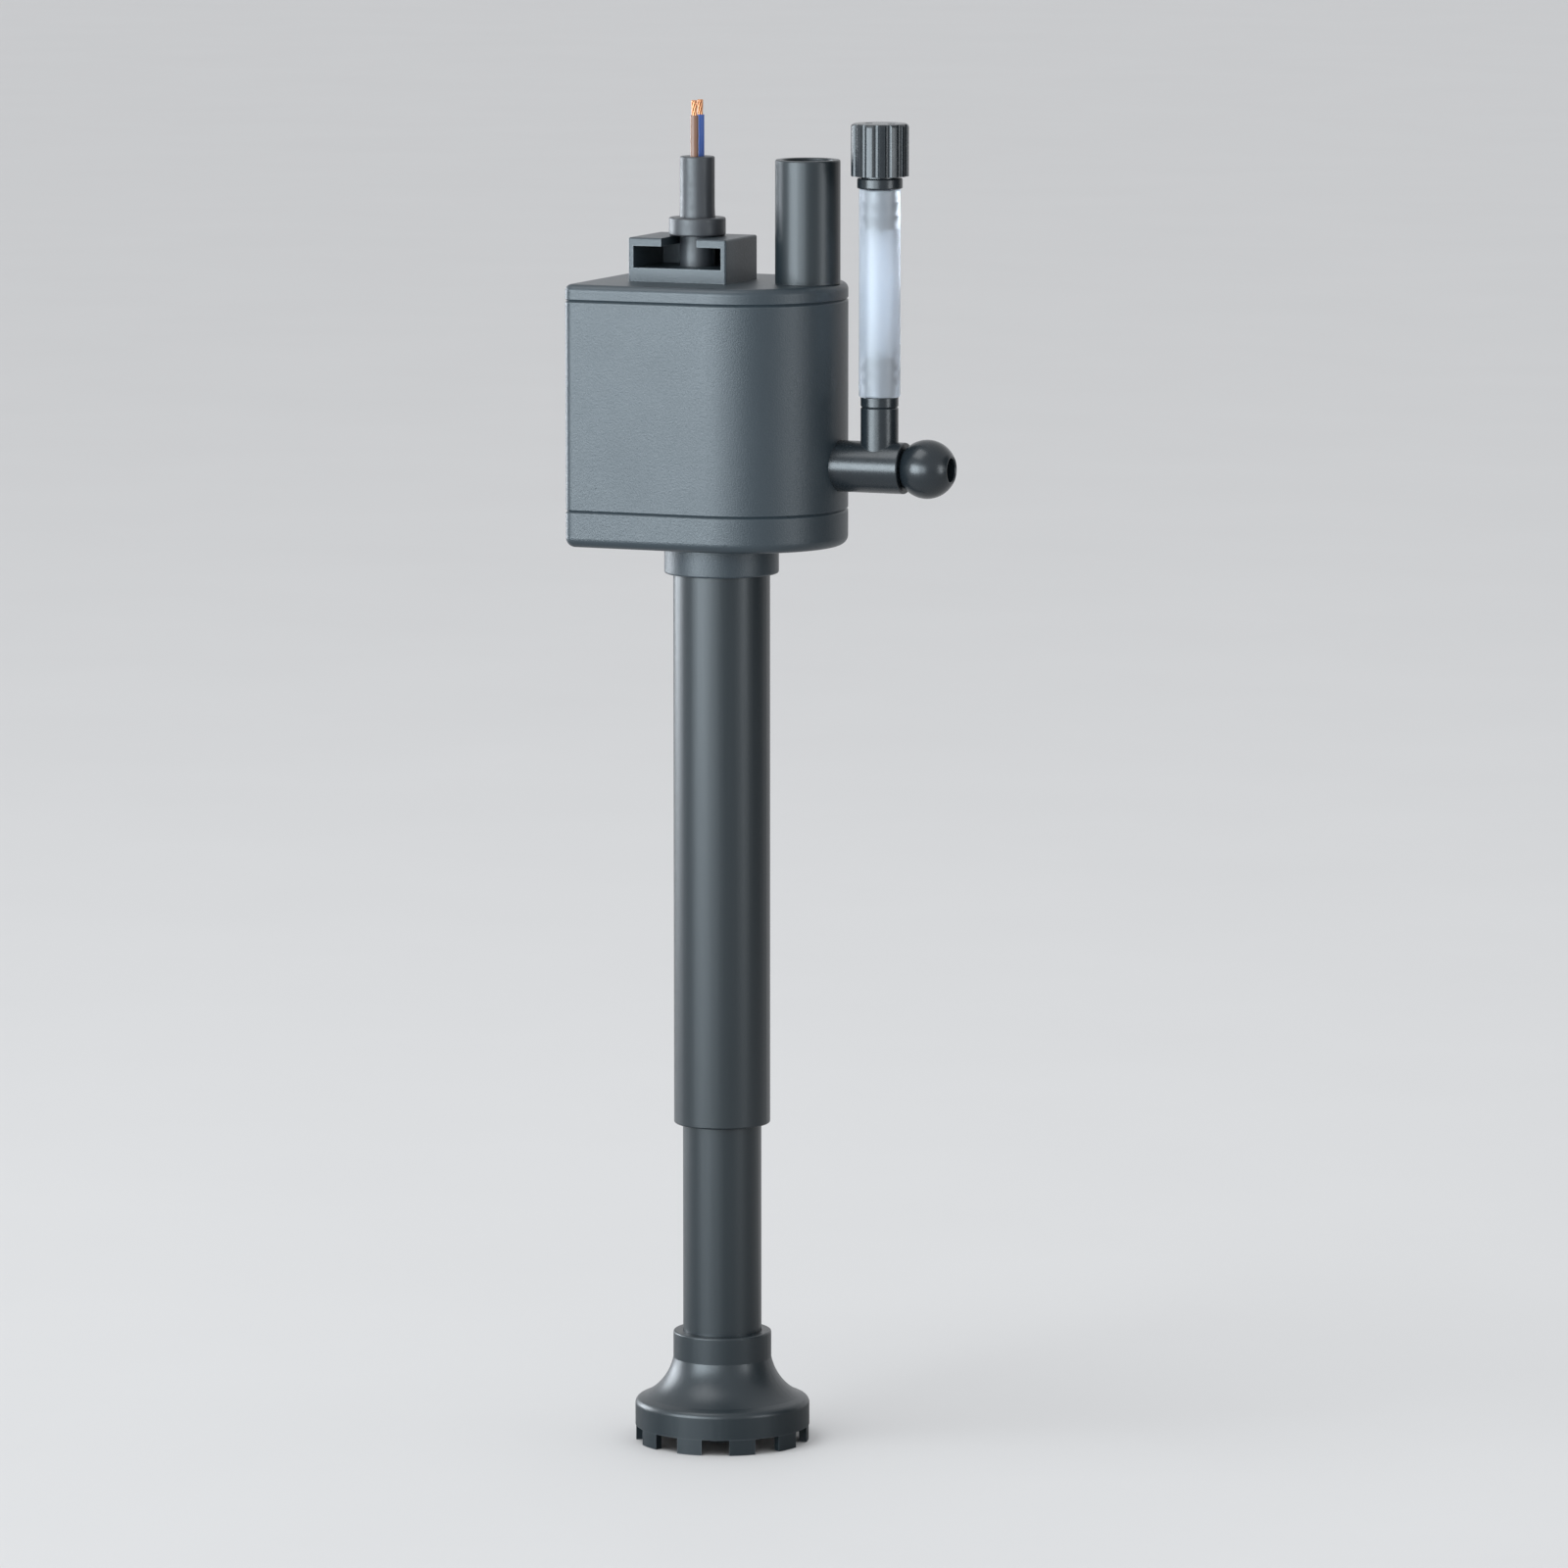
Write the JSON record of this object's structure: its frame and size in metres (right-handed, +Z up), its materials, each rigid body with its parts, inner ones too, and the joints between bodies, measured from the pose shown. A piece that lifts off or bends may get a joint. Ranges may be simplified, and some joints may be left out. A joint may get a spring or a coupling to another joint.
{
  "type": "internal power filter",
  "caption": "Aquarium internal power filter: D-shaped pump head over a telescoping intake tube with a slotted foot, side spout with ball nozzle, air hose, riser and cord.",
  "frame": {"origin": "centre of the strainer foot's underside, on the shared axis of the intake tubes and the rotor", "axes": "+Z up along the intake tube, +X along the side spout towards the ball nozzle, +Y towards the suction cups at the back"},
  "size_m": [0.0549, 0.036, 0.196],
  "materials": {
    "case_plastic": "satin, fine moulded grain",
    "tube_plastic": "satin extruded",
    "fitting_plastic": "semi gloss",
    "inner_plastic": "natural moulded",
    "hose_clear": "frosted translucent",
    "seal_rubber": "matte",
    "cup_rubber": "smooth, slightly glossy",
    "cord_jacket": "satin",
    "core_insulation": "smooth",
    "magnet_ferrite": "sintered",
    "shaft_ceramic": "ground",
    "core_steel": "laminated",
    "copper_wire": "enamelled",
    "potting_resin": "cast",
    "filter_foam": "open cell"
  },
  "bodies": {
    "pump": {"motor_housing": "case_plastic", "top_cover": "case_plastic", "base_cover": "case_plastic", "cup_bracket": "case_plastic", "suction_tube_upper": "tube_plastic", "outlet_riser": "tube_plastic", "venturi_tee": "fitting_plastic", "air_nipple": "fitting_plastic", "air_valve_body": "fitting_plastic", "chamber_plate": "case_plastic", "coil_bobbin": "inner_plastic", "air_hose": "hose_clear", "chamber_o_ring": "seal_rubber", "tee_o_ring": "seal_rubber", "lower_bush": "seal_rubber", "upper_bush": "seal_rubber", "suction_cups": "cup_rubber", "power_cord": "cord_jacket", "cord_collar": "cord_jacket", "cord_conductors": "core_insulation", "ceramic_shaft": "shaft_ceramic", "stator_core": "core_steel", "coil_winding": "copper_wire", "potting_cap": "potting_resin"},
    "rotor": {"rotor_magnet": "magnet_ferrite", "impeller": "inner_plastic"},
    "swivel": {"swivel_stem": "fitting_plastic"},
    "nozzle": {"ball_nozzle": "fitting_plastic"},
    "intake": {"suction_tube_lower": "tube_plastic", "tube_o_ring": "seal_rubber", "strainer_bell": "tube_plastic", "strainer_grid": "tube_plastic", "strainer_sponge": "filter_foam"},
    "valve_knob": {"air_valve_knob": "fitting_plastic"}
  },
  "joints": [
    {"name": "rotor_spin", "type": "hinge", "parent": "pump", "child": "rotor", "pos_m": [0, 0, 0.15], "axis": [0, 0, 1], "continuous": true},
    {"name": "nozzle_turn", "type": "hinge", "parent": "pump", "child": "swivel", "pos_m": [0.0323, 0, 0.1456], "axis": [1, 0, 0], "continuous": true},
    {"name": "nozzle_tilt", "type": "hinge", "parent": "swivel", "child": "nozzle", "pos_m": [0.0323, 0, 0.1456], "axis": [0, 1, 0], "range_deg": [-15, 15]},
    {"name": "tube_slide", "type": "slide", "parent": "pump", "child": "intake", "axis": [0, 0, 1], "range_m": [0, 0.03]},
    {"name": "valve_turn", "type": "hinge", "parent": "pump", "child": "valve_knob", "pos_m": [0.02485, 0, 0.19], "axis": [0, 0, 1], "range_deg": [-135, 135]}
  ]
}
